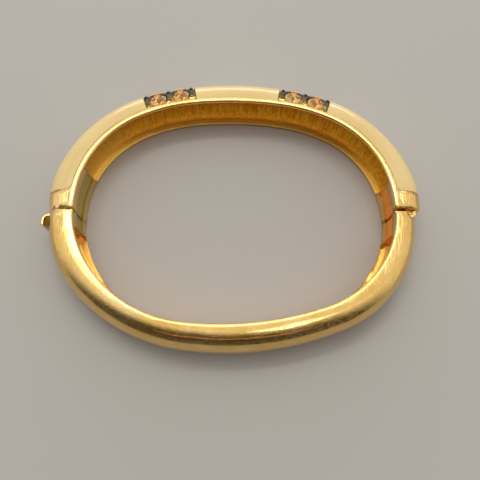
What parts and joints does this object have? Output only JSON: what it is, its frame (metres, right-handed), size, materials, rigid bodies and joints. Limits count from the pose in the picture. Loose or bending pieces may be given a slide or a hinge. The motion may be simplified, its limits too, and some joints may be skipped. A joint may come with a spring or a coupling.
{
  "type": "hinged bangle",
  "caption": "Oval hinged bangle with a cream enamelled front, two groups of round stones, a plain polished back and a box catch with a thumb tab.",
  "frame": {"origin": "middle of the bounding box in X and Y, on the floor that the bangle lies on", "axes": "+X towards the pin hinge, +Y towards the enamelled front, +Z along the wearer's arm, up from the floor"},
  "size_m": [0.0726, 0.0554, 0.0086],
  "materials": {
    "gold_metal": "polished yellow gold",
    "enamel": "smooth cream vitreous enamel",
    "stone": "clear peach stone, cut as a round brilliant"
  },
  "bodies": {
    "front_half": {"front_band": "gold_metal", "enamel_hinge_side": "enamel", "enamel_middle": "enamel", "enamel_catch_side": "enamel", "stone_a1": "stone", "stone_a2": "stone", "stone_a3": "stone", "stone_a4": "stone", "stone_a5": "stone", "stone_a6": "stone", "stone_a7": "stone", "stone_a8": "stone", "stone_b1": "stone", "stone_b2": "stone", "stone_b3": "stone", "stone_b4": "stone", "stone_b5": "stone", "stone_b6": "stone", "stone_b7": "stone", "stone_b8": "stone", "hinge_pin": "gold_metal"},
    "back_half": {"back_band": "gold_metal"},
    "lever": {"catch_lever": "gold_metal"}
  },
  "joints": [
    {"name": "main_hinge", "type": "hinge", "parent": "front_half", "child": "back_half", "pos_m": [0.03355, -0.00163, 0.0043], "axis": [0, 0, 1], "range_deg": [0, 55]},
    {"name": "lever_spring", "type": "hinge", "parent": "back_half", "child": "lever", "pos_m": [-0.03245, 0.00472, 0.0043], "axis": [0, 0, 1], "range_deg": [0, 3], "stiffness_Nm_per_rad": 0.05}
  ]
}
